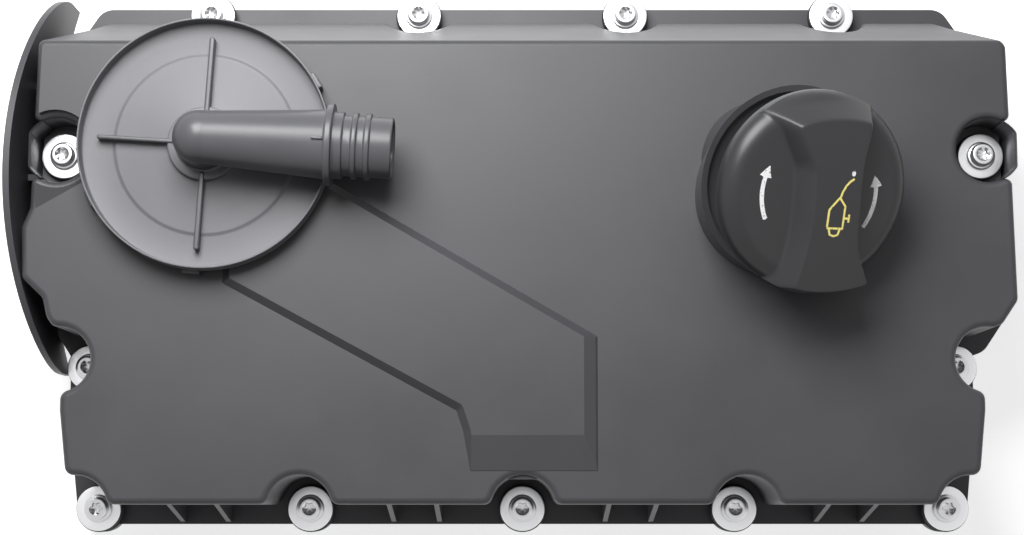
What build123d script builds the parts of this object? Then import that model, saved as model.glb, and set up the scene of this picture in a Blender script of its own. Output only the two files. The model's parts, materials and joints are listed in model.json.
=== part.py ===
"""Engine valve cover for a four-cylinder diesel: a hollow moulded cover with an oil filler neck,
a breather valve under a round lid, a timing-end guard and thirteen captive sealing screws.
X runs along the crankshaft, Y to the rear, Z up. The origin is on the sealing plane, at the
middle screw of the front row. Millimetres."""

from build123d import *
import math
import os

# ---------------------------------------------------------------- driving sizes
wall = 3.0
fit_gap = 0.3

# screw pattern
bore_pitch = 88.0
rear_row_y = 208.8
upper_side_x = 186.3
upper_side_y = 142.3
lower_side_x = 181.0
lower_side_y = 58.5
washer_z = 16.0
upper_washer_z = 50.0

# captive screw, sleeve and grommet
thread_r = 3.0
shank_r = 2.6
tip_length = 15.0
tip_chamfer = 0.7
head_r = 4.5
head_height = 5.5
collar_r = 5.7
collar_height = 1.5
washer_r = 9.3
washer_t = 1.5
sleeve_wall = 1.2
grommet_height = 2.6
grommet_lip = 0.5

# how far a cutting solid runs on past what it cuts
overrun = 40.0

# cover body
roof_z = 66.0
flange_z = 1.0
flange_t = 7.0
front_wall_y = 1.5
rear_wall_y = 205.5
rear_roof_y = 186.5
rear_slope_foot_z = 16.0
flange_reach = 8.0
corner_r = 3.6
well_r = 13.0
lower_well_out = 3.0
boss_wall = 4.2
roof_edge_r = 2.6

# raised gas channel and corner plateau
channel_h = 3.0
draft_deg = 45.0
channel_side_slope = 6.5
channel_front_slope = 15.0
plateau_h = 3.0
plateau_draft_deg = 70.0

# gasket
gasket_w = 3.6
gasket_h = 4.0
groove_land = 2.6
groove_side = 0.25

# timing-end guard
guard_t = 2.6
guard_x = -205.6
guard_bow_r = 290.0
guard_y = 135.0
guard_half_w = 79.0
guard_top_z = 74.0
guard_leg_z = 15.0
guard_tie_way = 38.0

# breather bowl in the cover and the lid on it
lid_x = -125.6
lid_y = 143.0
lid_overhang = 4.0
lid_t = 2.5
lid_rim_h = 6.5
lid_rim_t = 1.2
lid_step_r = 35.5
lid_step_h = 0.6
collar_r_out = 46.0
collar_stand = 4.0
bowl_floor_z = 46.0
bowl_floor_t = 2.5
bowl_way = 9.0
ring_wall_t = 3.0
ring_wall_h = 12.0
spigot_h = 5.0
spigot_t = 1.6
lid_seal_r = 0.9
gas_port_w = 22.0
gas_port_h = 7.0
vent_r = 2.5
vent_wall = 1.5
vent_z = 52.0
drain_r = 2.6
drain_cap_r = 6.5
drain_cap_t = 1.5

# breather lid outlet
lid_tab_w = 7.0
lid_tab_out = 1.6
lid_tab_drop = 3.2
lid_tab_angles = (34.5, 208.5, 267.5)
lid_turn_deg = -3.5
hub_r = 14.7
hub_h = 4.0
outlet_axis_h = 17.5
outlet_wall = 1.6
riser_r = 10.4
outlet_start_r = 10.2
outlet_end_r = 13.5
outlet_length = 49.6
stop_collar_r = 16.0
stop_collar_t = 2.7
stub_r = 13.0
stub_groove_r = 11.9
stub_length = 23.0
stub_bands = [(0.0, 4.0), (7.4, 9.4), (12.4, 14.5)]
lid_rib_t = 1.7
lid_rib_h = 4.6
lid_rib_reach = 42.5
index_l = 4.4
index_t = 1.0
index_h = 0.9

# membrane set
membrane_t = 0.9
plate_r = 20.0
plate_t = 2.0
membrane_roll_r = 3.2
membrane_roll_at = 25.5
clamp_h = 3.0
mouth_r = 9.5
mouth_t = 1.6
membrane_travel = 3.0
spring_r = 13.5
spring_wire = 1.2
spring_turns = 2.0

# oil separator under the gas channel
channel_rib_t = 2.0
channel_rib_z = 54.0
separator_t = 2.0
separator_lap = 4.0
separator_intake = 16.0
separator_screw_r = 1.5
separator_head_r = 3.0
separator_head_t = 1.6
separator_boss_r = 4.0

# oil filler neck and cap
neck_x = 104.5
neck_y = 127.0
neck_z = 83.3
lean_right_deg = 17.5
lean_front_deg = 20.5
boss_r = 37.5
boss_lip_t = 2.4
boss_recess = 2.5
neck_bore_r = 23.6
neck_wall = 3.0
neck_depth = 30.0
neck_lip_r = 19.2
neck_lip_h = 4.0
cap_r = 38.5
cap_foot_gap = 4.1
cap_foot_h = 4.0
cap_widest_h = 17.0
cap_skirt_h = 19.5
cap_top_h = 26.0
cap_shoulder = 6.0
grip_h = 9.0
grip_half_l = 32.4
grip_end_bulge = 2.0
grip_end_w = 30.5
grip_waist_w = 22.0
grip_near = 12.0
grip_far = 4.0
grip_root = 6.0
grip_draft_deg = 16.0
grip_turn_deg = 4.0
grip_shift = (2.2, -2.1)
grip_edge_r = 1.4
plug_depth = 14.0
plug_wall = 2.5
lug_h = 3.5
lug_width = 10.0
lug_gap = 0.5
cap_seal_t = 2.2
cap_seal_w = 4.5

# small ribs
front_gusset_t = 2.0
front_gusset_span = 19.0
front_gusset_h = 40.0
guard_tie_t = 2.5
guard_tie_top_z = 40.0

# ---------------------------------------------------------------- places
front_screws = [(bore_pitch * i, 0.0) for i in range(-2, 3)]
rear_screws = [(bore_pitch * (i - 1.5), rear_row_y) for i in range(4)]
upper_screws = [(side * upper_side_x, upper_side_y) for side in (-1, 1)]
lower_screws = [(side * lower_side_x, lower_side_y) for side in (-1, 1)]
low_screws = front_screws + rear_screws + lower_screws
low_wells = front_screws + rear_screws + [
    (side * (lower_side_x + lower_well_out), lower_side_y) for side in (-1, 1)
]

screw_stands = [(x, y, washer_z) for x, y in low_screws]
screw_stands += [(x, y, upper_washer_z) for x, y in upper_screws]
gusset_xs = [
    bore_pitch * (i - 1.5) + side * front_gusset_span / 2 for i in range(4) for side in (-1, 1)
]
guard_tie_ys = [guard_y - guard_tie_way, guard_y, guard_y + guard_tie_way]
lid_r = collar_r_out + lid_overhang
ring_wall_r = collar_r_out - wall - bowl_way
channel_way = math.radians(-32)
gas_port_at = (
    lid_x + collar_r_out * math.cos(channel_way),
    lid_y + collar_r_out * math.sin(channel_way),
)
gas_port_turn = (0, 0, math.degrees(channel_way))
drain_at = (
    lid_x + 0.5 * (ring_wall_r + collar_r_out - wall) * math.cos(math.radians(-110)),
    lid_y + 0.5 * (ring_wall_r + collar_r_out - wall) * math.sin(math.radians(-110)),
)
separator_screws = [(-70.0, 118.0), (-88.0, 79.0), (16.0, 65.0), (-28.5, 39.0)]
separator_screw_l = 7.0

flange_top_z = flange_z + flange_t
rear_slope = (roof_z - rear_slope_foot_z) / (rear_wall_y - rear_roof_y)
sleeve_r = thread_r + fit_gap + sleeve_wall
boss_hole_r = sleeve_r + fit_gap
boss_r_out = boss_hole_r + boss_wall
low_seat_z = washer_z - washer_t - grommet_height
high_seat_z = upper_washer_z - washer_t - grommet_height

# body outline at the roof, front left round to rear left
left_outline = [
    (-178.5, front_wall_y),
    (-182.6, 38.4),
    (-182.6, 66.0),
    (-188.8, 75.5),
    (-190.6, 83.0),
    (-199.0, 91.0),
    (-199.6, 111.0),
    (-196.4, 119.0),
    (-194.8, 186.0),
    (-181.0, 198.0),
    (-176.0, rear_wall_y),
]
right_outline = [
    (176.0, rear_wall_y),
    (181.0, 198.0),
    (194.3, 185.0),
    (196.4, 82.0),
    (190.0, 72.5),
    (182.0, 69.5),
    (182.4, 39.0),
    (178.5, front_wall_y),
]

# foot of the slope up to the raised rear left corner, which ends under the breather
plateau_outline = [
    (-240.0, 89.0),
    (-174.7, 126.3),
    (-150.0, 140.0),
    (lid_x, lid_y),
    (lid_x, 240.0),
    (-240.0, 240.0),
]

# foot of the raised gas channel, from under the breather to the middle of the front
channel_outline = [
    (-120.0, 88.0),
    (-27.0, 37.5),
    (-24.5, 30.0),
    (-21.5, 13.5),
    (30.5, 13.5),
    (30.5, 68.0),
    (-76.0, 130.0),
    (-120.0, 130.0),
]

os.makedirs("parts", exist_ok=True)


def body_plan(inset):
    """The body's outline with the low wells bitten out and its corners rounded, shrunk by inset."""
    with BuildSketch() as plan:
        with BuildLine():
            Polyline(*left_outline, *right_outline, close=True)
        make_face()
        with Locations(*low_wells):
            Circle(well_r, mode=Mode.SUBTRACT)
        fillet(plan.vertices(), corner_r)
        if inset:
            offset(amount=-inset)
    return plan.sketch


def cover_form(inset):
    """The body's outer form, or with an inset its hollow: outline, raised ways, rear slope, wells."""
    top_z = roof_z - inset
    with BuildPart() as form:
        with BuildSketch(Plane.XY.offset(flange_z)):
            add(body_plan(inset))
        extrude(amount=top_z - flange_z)

        # the rear of the roof falls away to the rear flange
        with BuildSketch(Plane.YZ):
            with BuildLine():
                Polyline(
                    (rear_roof_y - inset, roof_z - inset),
                    (rear_wall_y - inset, rear_slope_foot_z),
                    (rear_wall_y + overrun, rear_slope_foot_z),
                    (rear_wall_y + overrun, roof_z + overrun),
                    (rear_roof_y - inset - overrun / rear_slope, roof_z - inset + overrun),
                    close=True,
                )
            make_face()
        extrude(amount=300, both=True, mode=Mode.SUBTRACT)

        # wells let the upper side screws down into the roof
        with BuildSketch(Plane.XY.offset(high_seat_z - inset)):
            with Locations(*upper_screws):
                Circle(well_r + inset)
        extrude(amount=roof_z, mode=Mode.SUBTRACT)
        if inset == 0:
            fillet(form.edges().filter_by(is_roof_edge), roof_edge_r)

        # the gas channel runs from the breather to the middle of the front
        add(channel_form(inset))
        if inset == 0:
            add(plateau_form())
    return form.part


def plateau_form():
    """The raised rear left corner, set in from the roof's edge and from the well."""
    with BuildPart() as form:
        with BuildSketch(Plane.XY.offset(roof_z - 1)):
            with BuildLine():
                Polyline(*plateau_outline, close=True)
            make_face()
        extrude(amount=plateau_h + 1, taper=plateau_draft_deg)
        with BuildSketch(Plane.XY.offset(roof_z - 1)):
            add(body_plan(roof_edge_r))
            with Locations((0, rear_roof_y - roof_edge_r)):
                Rectangle(500, overrun, align=(Align.CENTER, Align.MIN), mode=Mode.SUBTRACT)
            with Locations(upper_screws[0]):
                Circle(well_r + roof_edge_r, mode=Mode.SUBTRACT)
        extrude(amount=plateau_h + 1, mode=Mode.INTERSECT)
    return form.part


def channel_form(inset):
    """The raised channel: steep sides, but a long slope to the right and a longer one to the front."""
    foot_z = roof_z - inset
    right_x = channel_outline[4][0]
    front_y = channel_outline[3][1]
    with BuildPart() as form:
        with BuildSketch(Plane.XY.offset(foot_z - 1)):
            add(channel_face(-inset))
        extrude(amount=channel_h + 1, taper=draft_deg)
        with BuildSketch(Plane.XZ.offset(-channel_outline[5][1])):
            with BuildLine():
                Polyline(
                    (right_x - inset, foot_z),
                    (right_x - inset - channel_side_slope, foot_z + channel_h),
                    (right_x - inset - 2 * channel_side_slope, foot_z + 2 * channel_h),
                    (right_x + overrun, foot_z + 2 * channel_h),
                    (right_x + overrun, foot_z),
                    close=True,
                )
            make_face()
        extrude(amount=2 * overrun, mode=Mode.SUBTRACT)
        with BuildSketch(Plane.YZ.offset(right_x + overrun)):
            with BuildLine():
                Polyline(
                    (front_y + inset, foot_z),
                    (front_y + inset + channel_front_slope, foot_z + channel_h),
                    (front_y + inset + 2 * channel_front_slope, foot_z + 2 * channel_h),
                    (front_y - overrun, foot_z + 2 * channel_h),
                    (front_y - overrun, foot_z),
                    close=True,
                )
            make_face()
        extrude(amount=-3 * overrun, mode=Mode.SUBTRACT)
    return form.part


def is_roof_edge(edge):
    """Edges along the roof's rim and down the rear slope, where hands and light meet the cover."""
    box = edge.bounding_box()
    return box.max.Z > roof_z - 0.01


def gasket_band(side):
    """The gasket's loop, a land's width outside the hollow, widened by a side clearance."""
    with BuildSketch() as band:
        add(body_plan(wall))
        offset(amount=groove_land + gasket_w + side, kind=Kind.ARC)
        with BuildSketch(mode=Mode.PRIVATE) as core:
            add(body_plan(wall))
            offset(amount=groove_land - side, kind=Kind.ARC)
        add(core.sketch, mode=Mode.SUBTRACT)
    return band.sketch


def channel_face(grow):
    """The gas channel's outline at its foot, grown sideways."""
    with BuildSketch() as outline:
        with BuildLine():
            Polyline(*channel_outline, close=True)
        make_face()
        if grow:
            offset(amount=grow, kind=Kind.INTERSECTION)
    return outline.sketch


def grip_face(spread):
    """The cap's grip seen from above, its sides and ends moved out by spread."""
    end_x = grip_end_w / 2 + spread
    waist_x = grip_waist_w / 2 + spread
    end_y = grip_half_l - grip_end_bulge + spread
    with BuildSketch() as face:
        with BuildLine():
            left = Spline((-end_x, end_y), (-waist_x, grip_near), (-waist_x, -grip_far), (-end_x, -end_y))
            front = ThreePointArc(left @ 1, (0, -end_y - grip_end_bulge), (end_x, -end_y))
            right = Spline(front @ 1, (waist_x, -grip_near), (waist_x, grip_far), (end_x, end_y))
            ThreePointArc(right @ 1, (0, end_y + grip_end_bulge), left @ 0)
        make_face()
    return face.sketch.rotate(Axis.Z, grip_turn_deg).translate((*grip_shift, 0))


# ---------------------------------------------------------------- heights worked out
collar_top_z = roof_z + collar_stand
lid_face_z = collar_top_z + lid_t
ring_top_z = bowl_floor_z + ring_wall_h
plate_top_z = ring_top_z + membrane_t + plate_t
mouth_end_z = plate_top_z + membrane_travel + fit_gap
outlet_z = lid_face_z + outlet_axis_h
lid_centre = (lid_x, lid_y)

# the neck's plane leans to the front and to the right; its own Y follows the cap's grip
lean = Vector(
    math.tan(math.radians(lean_right_deg)), -math.tan(math.radians(lean_front_deg)), 1
).normalized()
neck_plane = Plane(
    origin=(neck_x, neck_y, neck_z), x_dir=Vector(0, 1, 0).cross(lean), z_dir=lean
)
recess_floor = -boss_recess
lip_bottom = recess_floor - neck_lip_h
plug_r = neck_lip_r - 2 * fit_gap
lug_r = neck_bore_r - 2 * fit_gap

# the seal's ring lies in a groove round the lid's spigot, the spring between plate and lid
spigot_r_out = collar_r_out - wall - fit_gap
spigot_r_in_groove = spigot_r_out - 0.6
spring_low_z = plate_top_z - plate_t / 2 + spring_wire / 2 + 0.1
spring_pitch = (collar_top_z - spring_wire / 2 - 0.1 - spring_low_z) / spring_turns


# ---------------------------------------------------------------- timing-end guard
with BuildPart() as guard:
    with BuildSketch(Plane.XY.offset(flange_z)):
        with Locations((guard_x + guard_bow_r, guard_y)):
            Circle(guard_bow_r)
            Circle(guard_bow_r - guard_t, mode=Mode.SUBTRACT)
    extrude(amount=guard_top_z)
    with BuildSketch(Plane.YZ.offset(-250)):
        with Locations((guard_y, guard_leg_z)):
            Ellipse(guard_half_w, guard_top_z - guard_leg_z)
        with Locations((guard_y, guard_leg_z / 2)):
            Rectangle(2 * guard_half_w, guard_leg_z)
    extrude(amount=100, mode=Mode.INTERSECT)


# ---------------------------------------------------------------- cover shell
with BuildPart() as cover_shell:
    add(cover_form(0))

    # sealing flange with a lobe round each low screw
    with BuildSketch(Plane.XY.offset(flange_z)):
        with BuildLine():
            Polyline(*left_outline, *right_outline, close=True)
        make_face()
        offset(amount=flange_reach)
        with Locations(*low_screws):
            Circle(washer_r + grommet_lip)
    extrude(amount=flange_t)

    # filler boss: its top leans to the front right, its wall drops straight down
    with BuildSketch(neck_plane):
        Circle(boss_r)
    extrude(amount=overrun, dir=(0, 0, -1))

    # the hollow
    add(cover_form(wall), mode=Mode.SUBTRACT)
    with BuildSketch(neck_plane.offset(recess_floor - wall)):
        Circle(boss_r - wall)
    extrude(amount=overrun, dir=(0, 0, -1), mode=Mode.SUBTRACT)

    # screw bosses rise from the flange, tall ones under the upper side wells
    with BuildSketch(Plane.XY.offset(flange_z)):
        with Locations(*low_screws):
            Circle(boss_r_out)
    extrude(amount=low_seat_z - flange_z)
    with BuildSketch(Plane.XY.offset(flange_z)):
        with Locations(*upper_screws):
            Circle(boss_r_out)
    extrude(amount=high_seat_z - flange_z)
    with BuildSketch(Plane.XY.offset(flange_z)):
        with Locations(*low_screws, *upper_screws):
            Circle(boss_hole_r)
    extrude(amount=high_seat_z, mode=Mode.SUBTRACT)

    # breather bowl: the collar stands through the roof, a ring wall inside carries the membrane
    with BuildSketch(Plane.XY.offset(bowl_floor_z - bowl_floor_t)):
        with Locations(lid_centre):
            Circle(collar_r_out)
    extrude(amount=collar_top_z - bowl_floor_z + bowl_floor_t)
    with BuildSketch(Plane.XY.offset(bowl_floor_z)):
        with Locations(lid_centre):
            Circle(collar_r_out - wall)
            Circle(ring_wall_r, mode=Mode.SUBTRACT)
    extrude(amount=collar_top_z, mode=Mode.SUBTRACT)
    with BuildSketch(Plane.XY.offset(bowl_floor_z)):
        with Locations(lid_centre):
            Circle(ring_wall_r - ring_wall_t)
    extrude(amount=collar_top_z, mode=Mode.SUBTRACT)
    with BuildSketch(Plane.XY.offset(ring_top_z)):
        with Locations(lid_centre):
            Circle(ring_wall_r)
    extrude(amount=collar_top_z, mode=Mode.SUBTRACT)

    # the space under the membrane breathes through a small duct to the rear
    with BuildSketch(Plane.XZ.offset(-lid_y - ring_wall_r + ring_wall_t / 2)):
        with Locations((lid_x, vent_z)):
            Circle(vent_r + vent_wall)
    extrude(amount=-(collar_r_out - ring_wall_r + 4))
    with BuildSketch(Plane.XZ.offset(-lid_y - ring_wall_r + 2 * ring_wall_t)):
        with Locations((lid_x, vent_z)):
            Circle(vent_r)
    extrude(amount=-30, mode=Mode.SUBTRACT)

    # gas comes in from the channel, oil drains through the floor
    with BuildSketch(Plane.XY.offset(roof_z - wall - gas_port_h)):
        with Locations(Location(gas_port_at, gas_port_turn)):
            Rectangle(collar_r_out, gas_port_w)
    extrude(amount=gas_port_h, mode=Mode.SUBTRACT)
    with BuildSketch(Plane.XY.offset(bowl_floor_z - bowl_floor_t)):
        with Locations(drain_at):
            Circle(drain_r)
    extrude(amount=bowl_floor_t, mode=Mode.SUBTRACT)

    # filler neck tube with the bayonet lip, two slots and a recess for the cap's seal
    with BuildSketch(neck_plane.offset(recess_floor - wall)):
        Circle(neck_bore_r + neck_wall)
        Circle(neck_bore_r, mode=Mode.SUBTRACT)
    extrude(amount=wall - neck_depth)
    with BuildSketch(neck_plane.offset(lip_bottom)):
        Circle(neck_bore_r + neck_wall)
    extrude(amount=neck_lip_h)
    with BuildSketch(neck_plane.offset(lip_bottom)):
        Circle(neck_lip_r)
        Rectangle(lug_width + 2 * lug_gap, 2 * neck_bore_r)
    extrude(amount=neck_lip_h, mode=Mode.SUBTRACT)
    with BuildSketch(neck_plane.offset(recess_floor)):
        Circle(boss_r - boss_lip_t)
    extrude(amount=boss_recess, mode=Mode.SUBTRACT)

    # channel ribs under the roof, closed below by the separator plate
    with BuildSketch(Plane.XY.offset(channel_rib_z)):
        add(channel_face(channel_rib_t))
        add(channel_face(0), mode=Mode.SUBTRACT)
        with Locations(lid_centre):
            Circle(collar_r_out - wall / 2, mode=Mode.SUBTRACT)
    extrude(amount=roof_z - wall - channel_rib_z)
    with BuildSketch(Plane.XY.offset(channel_rib_z)):
        with Locations(*separator_screws):
            Circle(separator_boss_r)
    extrude(amount=roof_z - wall - channel_rib_z)
    with BuildSketch(Plane.XY.offset(channel_rib_z)):
        with Locations(*separator_screws):
            Circle(separator_screw_r)
    extrude(amount=separator_screw_l, mode=Mode.SUBTRACT)

    # gussets brace the front wall, in pairs midway between screws
    for x in gusset_xs:
        with BuildSketch(Plane.YZ.offset(x - front_gusset_t / 2)):
            with BuildLine():
                Polyline(
                    (front_wall_y + wall / 2, flange_top_z),
                    (front_wall_y - flange_reach + 1, flange_top_z),
                    (front_wall_y - flange_reach + 1, flange_top_z + 3),
                    (front_wall_y, flange_top_z + front_gusset_h),
                    (front_wall_y + wall / 2, flange_top_z + front_gusset_h),
                    close=True,
                )
            make_face()
        extrude(amount=front_gusset_t)

    # timing-end guard, tied to the body's side
    add(guard)
    for y in guard_tie_ys:
        with BuildSketch(Plane.XY.offset(flange_z)):
            with Locations((guard_x + guard_t / 2, y)):
                Rectangle(12, guard_tie_t, align=(Align.MIN, Align.CENTER))
        extrude(amount=guard_tie_top_z)

    # gasket groove in the flange's underside
    with BuildSketch(Plane.XY.offset(flange_z)):
        add(gasket_band(groove_side))
    extrude(amount=gasket_h - flange_z, mode=Mode.SUBTRACT)

cover_shell.part.label = "cover_shell"
export_step(cover_shell.part, "parts/cover_shell.step")


# ---------------------------------------------------------------- gasket
with BuildPart() as gasket:
    with BuildSketch():
        add(gasket_band(0))
    extrude(amount=gasket_h)
gasket.part.label = "perimeter_gasket"
export_step(gasket.part, "parts/perimeter_gasket.step")


# ---------------------------------------------------------------- screws, sleeves, grommets
for number, (x, y, stand_z) in enumerate(screw_stands, start=1):
    with BuildPart() as screw:
        with BuildSketch(Plane.XY.offset(-tip_length)):
            with Locations((x, y)):
                Circle(thread_r)
        extrude(amount=tip_length)
        chamfer(screw.edges().group_by(Axis.Z)[0], tip_chamfer)
        with BuildSketch(Plane.XY):
            with Locations((x, y)):
                Circle(shank_r)
        extrude(amount=stand_z)
        with BuildSketch(Plane.XY.offset(stand_z)):
            with Locations((x, y)):
                Circle(collar_r)
        extrude(amount=collar_height)
        with BuildSketch(Plane.XY.offset(stand_z + collar_height)):
            with Locations((x, y)):
                Circle(head_r)
        extrude(amount=head_height - collar_height)
    screw.part.label = f"screw_{number:02d}"
    export_step(screw.part, f"parts/screw_{number:02d}.step")

    with BuildPart() as sleeve:
        with BuildSketch(Plane.XY.offset(flange_z)):
            with Locations((x, y)):
                Circle(sleeve_r)
        extrude(amount=stand_z - flange_z)
        with BuildSketch(Plane.XY.offset(stand_z - washer_t)):
            with Locations((x, y)):
                Circle(washer_r)
        extrude(amount=washer_t)
        with BuildSketch(Plane.XY.offset(flange_z)):
            with Locations((x, y)):
                Circle(thread_r + fit_gap)
        extrude(amount=stand_z, mode=Mode.SUBTRACT)
    sleeve.part.label = f"sleeve_{number:02d}"
    export_step(sleeve.part, f"parts/sleeve_{number:02d}.step")

    with BuildPart() as grommet:
        with BuildSketch(Plane.XY.offset(stand_z - washer_t - grommet_height)):
            with Locations((x, y)):
                Circle(washer_r + grommet_lip)
                Circle(sleeve_r + fit_gap, mode=Mode.SUBTRACT)
        extrude(amount=grommet_height)
    grommet.part.label = f"grommet_{number:02d}"
    export_step(grommet.part, f"parts/grommet_{number:02d}.step")


# ---------------------------------------------------------------- breather lid with its outlet
lid_plane = Plane.XY.offset(collar_top_z)
outlet_plane = Plane(origin=(lid_x, lid_y, outlet_z), x_dir=(0, 1, 0), z_dir=(1, 0, 0))
with BuildPart() as breather_lid:
    with BuildSketch(lid_plane):
        with Locations(lid_centre):
            Circle(lid_r)
    extrude(amount=lid_t + lid_rim_h)
    with BuildSketch(lid_plane.offset(lid_t)):
        with Locations(lid_centre):
            Circle(lid_r - lid_rim_t)
    extrude(amount=lid_rim_h, mode=Mode.SUBTRACT)
    with BuildSketch(lid_plane.offset(lid_t)):
        with Locations(lid_centre):
            Circle(lid_step_r)
    extrude(amount=lid_step_h)

    # spigot inside the collar
    with BuildSketch(lid_plane.offset(-spigot_h)):
        with Locations(lid_centre):
            Circle(spigot_r_out)
            Circle(spigot_r_out - spigot_t, mode=Mode.SUBTRACT)
    extrude(amount=spigot_h)
    with BuildSketch(lid_plane.offset(-spigot_h / 2 - lid_seal_r)):
        with Locations(lid_centre):
            Circle(spigot_r_out + 1)
            Circle(spigot_r_in_groove - lid_seal_r, mode=Mode.SUBTRACT)
    extrude(amount=2 * lid_seal_r, mode=Mode.SUBTRACT)

    # hub, riser and stiffening cross
    with BuildSketch(lid_plane.offset(lid_t)):
        with Locations(lid_centre):
            Circle(hub_r)
    extrude(amount=hub_h)
    with BuildSketch(lid_plane.offset(lid_t)):
        with Locations(lid_centre):
            Circle(riser_r)
    extrude(amount=outlet_axis_h)
    with Locations((lid_x, lid_y, outlet_z)):
        Sphere(riser_r)
    with BuildSketch(lid_plane.offset(lid_t)):
        with Locations(lid_centre):
            SlotOverall(2 * lid_rib_reach, lid_rib_t, rotation=90)
        with Locations((lid_x - lid_rib_reach / 2, lid_y)):
            SlotOverall(lid_rib_reach, lid_rib_t)
    extrude(amount=lid_rib_h)

    # three snap tabs hang from the lid's edge
    with BuildSketch(lid_plane.offset(-lid_tab_drop)):
        for angle in lid_tab_angles:
            with Locations(Location((lid_x, lid_y), angle)):
                with Locations(((collar_r_out + fit_gap + lid_r + lid_tab_out) / 2, 0)):
                    Rectangle(lid_r + lid_tab_out - collar_r_out - fit_gap, lid_tab_w)
    extrude(amount=lid_tab_drop + lid_t)

    # outlet: a widening tube, a stop collar and a banded hose stub
    with BuildSketch(outlet_plane):
        Circle(outlet_start_r)
    with BuildSketch(outlet_plane.offset(outlet_length)):
        Circle(outlet_end_r)
    loft()
    with BuildSketch(outlet_plane.offset(outlet_length)):
        Circle(stop_collar_r)
    extrude(amount=stop_collar_t)
    with BuildSketch(outlet_plane.offset(outlet_length)):
        Circle(stub_groove_r)
    extrude(amount=stop_collar_t + stub_length)
    for near, far in stub_bands:
        with BuildSketch(outlet_plane.offset(outlet_length + stop_collar_t + near)):
            Circle(stub_r)
        extrude(amount=far - near)

    # an index mark on the outlet shows how the hose is turned
    with BuildSketch(Plane.XY.offset(outlet_z)):
        with Locations((lid_x + outlet_length - index_l / 2 - 0.5, lid_y)):
            Rectangle(index_l, index_t)
    extrude(amount=outlet_end_r + index_h)

    # the mouth hangs towards the membrane plate, and one bore runs from it to the stub's end
    with BuildSketch(Plane.XY.offset(mouth_end_z)):
        with Locations(lid_centre):
            Circle(mouth_r)
    extrude(amount=collar_top_z - mouth_end_z)
    with BuildSketch(Plane.XY.offset(mouth_end_z)):
        with Locations(lid_centre):
            Circle(mouth_r - mouth_t)
    extrude(amount=outlet_z - mouth_end_z, mode=Mode.SUBTRACT)
    with Locations((lid_x, lid_y, outlet_z)):
        Sphere(mouth_r - mouth_t, mode=Mode.SUBTRACT)
    with BuildSketch(outlet_plane):
        Circle(mouth_r - mouth_t)
    with BuildSketch(outlet_plane.offset(outlet_length + stop_collar_t + stub_length)):
        Circle(stub_groove_r - outlet_wall)
    loft(mode=Mode.SUBTRACT)
lid_turn = Location((lid_x, lid_y, 0), (0, 0, lid_turn_deg))
breather_lid.part.location = lid_turn * Location((-lid_x, -lid_y, 0))
breather_lid.part.label = "breather_lid"
export_step(breather_lid.part, "parts/breather_lid.step")


# ---------------------------------------------------------------- lid seal
with BuildPart() as lid_seal:
    with BuildSketch(Plane.XZ.offset(-lid_y)):
        with Locations((lid_x + spigot_r_in_groove, collar_top_z - spigot_h / 2)):
            Circle(lid_seal_r)
    revolve(axis=Axis((lid_x, lid_y, 0), (0, 0, 1)))
lid_seal.part.label = "lid_seal"
export_step(lid_seal.part, "parts/lid_seal.step")


# ---------------------------------------------------------------- membrane, plate, clamp ring, spring
with BuildPart() as membrane:
    with BuildSketch(Plane.XZ.offset(-lid_y)):
        with BuildLine():
            inner_flat = Line(
                (lid_x, ring_top_z + membrane_t / 2),
                (lid_x + membrane_roll_at - membrane_roll_r, ring_top_z + membrane_t / 2),
            )
            roll = ThreePointArc(
                inner_flat @ 1,
                (lid_x + membrane_roll_at, ring_top_z + membrane_t / 2 - membrane_roll_r),
                (lid_x + membrane_roll_at + membrane_roll_r, ring_top_z + membrane_t / 2),
            )
            Line(roll @ 1, (lid_x + ring_wall_r, ring_top_z + membrane_t / 2))
        trace(line_width=membrane_t)
        # the traced band's half that crosses the axis goes, and so does its end past the ring wall
        with Locations((lid_x, ring_top_z)):
            Rectangle(overrun, overrun, align=(Align.MAX, Align.CENTER), mode=Mode.SUBTRACT)
    revolve(axis=Axis((lid_x, lid_y, 0), (0, 0, 1)))
    with BuildSketch(Plane.XY.offset(ring_top_z - overrun / 2)):
        with Locations(lid_centre):
            Circle(ring_wall_r)
    extrude(amount=overrun, mode=Mode.INTERSECT)
membrane.part.label = "membrane"
export_step(membrane.part, "parts/membrane.step")

with BuildPart() as membrane_plate:
    with BuildSketch(Plane.XY.offset(ring_top_z + membrane_t)):
        with Locations(lid_centre):
            Circle(plate_r)
    extrude(amount=plate_t)
    with BuildSketch(Plane.XY.offset(plate_top_z - plate_t / 2)):
        with Locations(lid_centre):
            Circle(spring_r + spring_wire)
            Circle(spring_r - spring_wire, mode=Mode.SUBTRACT)
    extrude(amount=plate_t / 2, mode=Mode.SUBTRACT)
membrane_plate.part.label = "membrane_plate"
export_step(membrane_plate.part, "parts/membrane_plate.step")

with BuildPart() as clamp_ring:
    with BuildSketch(Plane.XY.offset(ring_top_z + membrane_t)):
        with Locations(lid_centre):
            Circle(ring_wall_r)
            Circle(ring_wall_r - ring_wall_t, mode=Mode.SUBTRACT)
    extrude(amount=clamp_h)
clamp_ring.part.label = "membrane_clamp_ring"
export_step(clamp_ring.part, "parts/membrane_clamp_ring.step")

with BuildPart() as breather_spring:
    with BuildLine():
        coil = Helix(
            pitch=spring_pitch,
            height=spring_pitch * spring_turns,
            radius=spring_r,
            center=(lid_x, lid_y, spring_low_z),
        )
    with BuildSketch(Plane(origin=coil @ 0, z_dir=coil % 0)):
        Circle(spring_wire / 2)
    sweep(path=coil, is_frenet=True)
breather_spring.part.label = "breather_spring"
export_step(breather_spring.part, "parts/breather_spring.step")


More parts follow.
